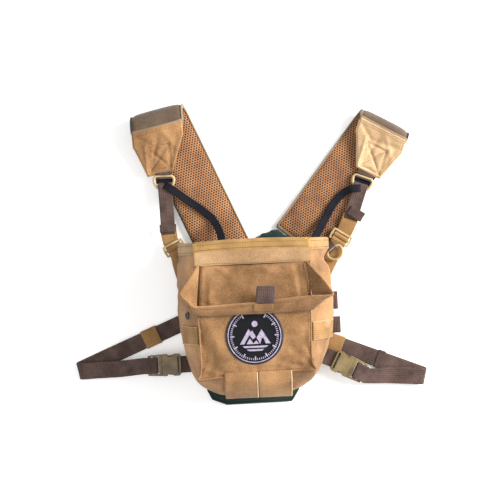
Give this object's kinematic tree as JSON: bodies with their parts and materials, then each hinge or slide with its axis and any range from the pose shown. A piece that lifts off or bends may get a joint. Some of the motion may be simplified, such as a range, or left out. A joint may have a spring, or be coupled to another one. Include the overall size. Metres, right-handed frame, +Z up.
{
  "type": "binocular harness pack",
  "caption": "Padded chest pack for binoculars with a fold-over lid, two shoulder pads with rings and ladder locks, and two buckled side straps, laid out flat.",
  "frame": {"origin": "on the resting surface, under the middle of the outline of the whole pack as it lies", "axes": "+Z up from the surface that the pack lies on its back on, +Y from the pouch base to its mouth, +X to the right seen from above"},
  "size_m": [0.4217, 0.3678, 0.1156],
  "materials": {
    "coyote_fabric": "matt woven nylon",
    "gold_binding": "ribbed grosgrain",
    "tan_webbing": "ribbed webbing",
    "brown_webbing": "ribbed webbing",
    "mesh_padding": "spacer mesh over foam",
    "dark_padding": "padded dark fabric",
    "foam": "sewn-in foam",
    "stiffener_board": "thin board",
    "black_strap": "flat nylon strap",
    "black_plastic": "matt",
    "tan_plastic": "moulded acetal",
    "buckle_plastic": "moulded acetal",
    "patch": "embroidered",
    "eyelet": "matt",
    "magnet": "plated"
  },
  "bodies": {
    "harness": {"accessory_ring_loop": "brown_webbing", "bottom_webbing_loops": "coyote_fabric", "buckle_anchor_webbings": "brown_webbing", "front_patch": "patch", "gusset_webbing_loops": "tan_webbing", "left_buckle_socket": "buckle_plastic", "left_d_ring": "tan_plastic", "left_ladder_lock": "tan_plastic", "left_shoulder_pad": "mesh_padding", "left_shoulder_tab": "coyote_fabric", "left_side_strap": "brown_webbing", "left_tan_webbing": "tan_webbing", "left_tether": "black_strap", "left_upper_webbing": "brown_webbing", "pouch_anchor_webbings": "tan_webbing", "pouch_back_padding": "dark_padding", "pouch_back_panel": "coyote_fabric", "pouch_bottom_panel": "coyote_fabric", "pouch_foam_pads": "foam", "pouch_front_panel": "coyote_fabric", "pouch_left_gusset": "coyote_fabric", "pouch_right_gusset": "coyote_fabric", "right_buckle_socket": "buckle_plastic", "right_d_ring": "tan_plastic", "right_ladder_lock": "tan_plastic", "right_shoulder_pad": "mesh_padding", "right_shoulder_tab": "coyote_fabric", "right_side_strap": "brown_webbing", "right_tail_loop": "brown_webbing", "right_tan_webbing": "tan_webbing", "right_tether": "black_strap", "right_upper_webbing": "brown_webbing", "right_webbing_tabs": "brown_webbing", "right_webbing_tail": "brown_webbing", "rim_binding": "gold_binding", "rim_magnets": "magnet", "ring_loops": "brown_webbing", "side_eyelet": "eyelet", "tether_clips": "black_plastic", "yoke_panel": "dark_padding"},
    "lid": {"lid_hinge_tape": "gold_binding", "lid_outer_sheet": "coyote_fabric", "lid_stiffener": "stiffener_board", "lid_side_wings": "coyote_fabric", "lid_rear_skirt": "coyote_fabric", "lid_magnets": "magnet", "lid_pull_tab": "brown_webbing"},
    "left_plug": {"left_buckle_plug": "buckle_plastic", "left_plug_webbing": "brown_webbing"},
    "left_prong_rear": {"left_buckle_prong_rear": "buckle_plastic"},
    "left_prong_front": {"left_buckle_prong_front": "buckle_plastic"},
    "right_plug": {"right_buckle_plug": "buckle_plastic", "right_plug_webbing": "brown_webbing"},
    "right_prong_rear": {"right_buckle_prong_rear": "buckle_plastic"},
    "right_prong_front": {"right_buckle_prong_front": "buckle_plastic"},
    "left_strap_slider": {"left_strap_keeper": "tan_webbing"},
    "right_strap_slider": {"right_strap_keeper": "brown_webbing"},
    "webbing_slider": {"left_webbing_keeper": "brown_webbing"},
    "accessory_ring": {"accessory_ring": "tan_plastic"}
  },
  "joints": [
    {"name": "lid_hinge", "type": "hinge", "parent": "harness", "child": "lid", "pos_m": [0.0065, 0.015, 0.0924], "axis": [-1, 0, 0], "range_deg": [0, 240]},
    {"name": "left_buckle_release", "type": "slide", "parent": "harness", "child": "left_plug", "axis": [-1, 0, 0], "range_m": [0, 0.02]},
    {"name": "left_prong_rear_flex", "type": "hinge", "parent": "left_plug", "child": "left_prong_rear", "pos_m": [-0.106, -0.1396, 0.013], "axis": [0, 0, 1], "range_deg": [0, 13]},
    {"name": "left_prong_front_flex", "type": "hinge", "parent": "left_plug", "child": "left_prong_front", "pos_m": [-0.106, -0.1194, 0.013], "axis": [0, 0, -1], "range_deg": [0, 13]},
    {"name": "right_buckle_release", "type": "slide", "parent": "harness", "child": "right_plug", "axis": [0.8829, -0.4695, 0], "range_m": [0, 0.02]},
    {"name": "right_prong_rear_flex", "type": "hinge", "parent": "right_plug", "child": "right_prong_rear", "pos_m": [0.12337, -0.13371, 0.013], "axis": [0, 0, 1], "range_deg": [0, 13]},
    {"name": "right_prong_front_flex", "type": "hinge", "parent": "right_plug", "child": "right_prong_front", "pos_m": [0.11388, -0.15155, 0.013], "axis": [0, 0, -1], "range_deg": [0, 13]},
    {"name": "left_strap_keeper_slide", "type": "slide", "parent": "harness", "child": "left_strap_slider", "axis": [-0.9268, -0.3755, 0], "range_m": [-0.015, 0.02]},
    {"name": "right_strap_keeper_slide", "type": "slide", "parent": "harness", "child": "right_strap_slider", "axis": [0.9246, -0.3809, 0], "range_m": [-0.012, 0.025]},
    {"name": "webbing_keeper_slide", "type": "slide", "parent": "harness", "child": "webbing_slider", "axis": [-0.0192, 0.9998, 0], "range_m": [0, 0.02]},
    {"name": "accessory_ring_swing", "type": "hinge", "parent": "harness", "child": "accessory_ring", "pos_m": [0.103, 0, 0.019], "axis": [-0.788, -0.6157, 0], "range_deg": [0, 80]}
  ],
  "couplings": [
    {"joint": "left_prong_rear_flex", "follows": "left_buckle_release", "rad_per_m": 10.8},
    {"joint": "left_prong_front_flex", "follows": "left_buckle_release", "rad_per_m": 10.8},
    {"joint": "right_prong_rear_flex", "follows": "right_buckle_release", "rad_per_m": 10.8},
    {"joint": "right_prong_front_flex", "follows": "right_buckle_release", "rad_per_m": 10.8}
  ]
}
